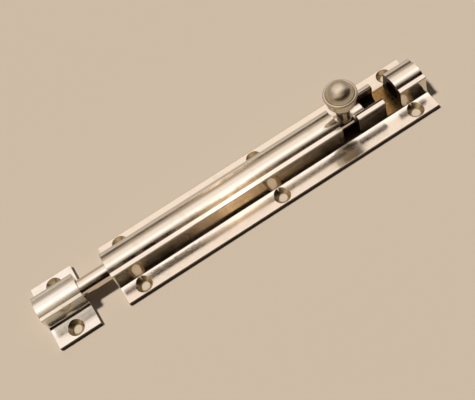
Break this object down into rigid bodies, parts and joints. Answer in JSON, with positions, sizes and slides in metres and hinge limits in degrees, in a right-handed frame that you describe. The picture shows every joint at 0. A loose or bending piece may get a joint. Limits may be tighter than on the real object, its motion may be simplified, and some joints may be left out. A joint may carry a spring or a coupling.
{
  "type": "door bolt",
  "caption": "Straight barrel door bolt on a flat plate, with a round shooting rod worked by a domed knob that turns down into cross notches, and a separate keep.",
  "frame": {"origin": "centre of the body plate's flat back face", "axes": "+X along the barrel, away from the keep, the way the rod is drawn back; +Y across the plate; +Z out of the back face, away from the door"},
  "size_m": [0.1823, 0.0306, 0.0317],
  "materials": {
    "plated_body": "brass extrusion, polished and plated bright",
    "plated_keep": "brass extrusion, polished and plated bright",
    "plated_rod": "drawn brass rod, polished and plated bright",
    "plated_knob": "turned brass, polished and plated bright",
    "nylon_ring": "moulded natural nylon"
  },
  "bodies": {
    "fixed_body": {"barrel_body": "plated_body"},
    "loose_keep": {"keep": "plated_keep"},
    "ring_carrier": {"friction_ring": "nylon_ring"},
    "bolt": {"bolt_rod": "plated_rod", "knob": "plated_knob"}
  },
  "joints": [
    {"name": "bolt_slide", "type": "slide", "parent": "fixed_body", "child": "ring_carrier", "axis": [1, 0, 0], "range_m": [-0.0015, 0.0207]},
    {"name": "bolt_turn", "type": "hinge", "parent": "ring_carrier", "child": "bolt", "pos_m": [0, 0, 0.0072], "axis": [1, 0, 0], "range_deg": [-85, 85]},
    {"name": "keep_apart", "type": "slide", "parent": "fixed_body", "child": "loose_keep", "axis": [-1, 0, 0], "range_m": [0, 0.025]}
  ]
}
